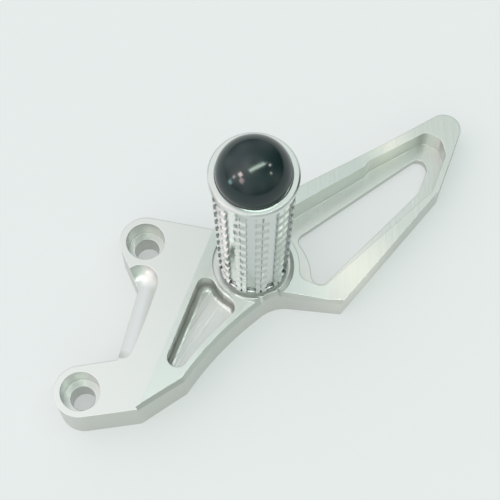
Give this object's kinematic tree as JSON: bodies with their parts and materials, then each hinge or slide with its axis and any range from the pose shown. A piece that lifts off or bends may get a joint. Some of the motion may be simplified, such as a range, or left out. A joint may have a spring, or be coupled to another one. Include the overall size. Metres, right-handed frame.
{
  "type": "motorcycle rear set footrest",
  "caption": "Milled aluminium rear set footrest plate with two counterbored lugs, a stepped heel guard window and a toothed round foot peg with a black ball end cap",
  "frame": {"origin": "on the flat back face, midway between the axes of the two mounting holes", "axes": "+Z out of the front face along the foot peg, +Y from the lower mounting hole to the upper one, +X towards the heel guard"},
  "size_m": [0.0994, 0.1548, 0.1019],
  "materials": {
    "milled_aluminium": "milled and satin, clear anodised",
    "turned_aluminium": "turned and milled, clear anodised",
    "black_plastic": "polished",
    "black_steel": "black oxide",
    "zinc_steel": "zinc plated"
  },
  "bodies": {
    "root": {"bracket_plate": "milled_aluminium", "footpeg": "turned_aluminium", "peg_end_cap": "black_plastic", "peg_bolt": "black_steel", "peg_washer": "zinc_steel"}
  },
  "joints": []
}
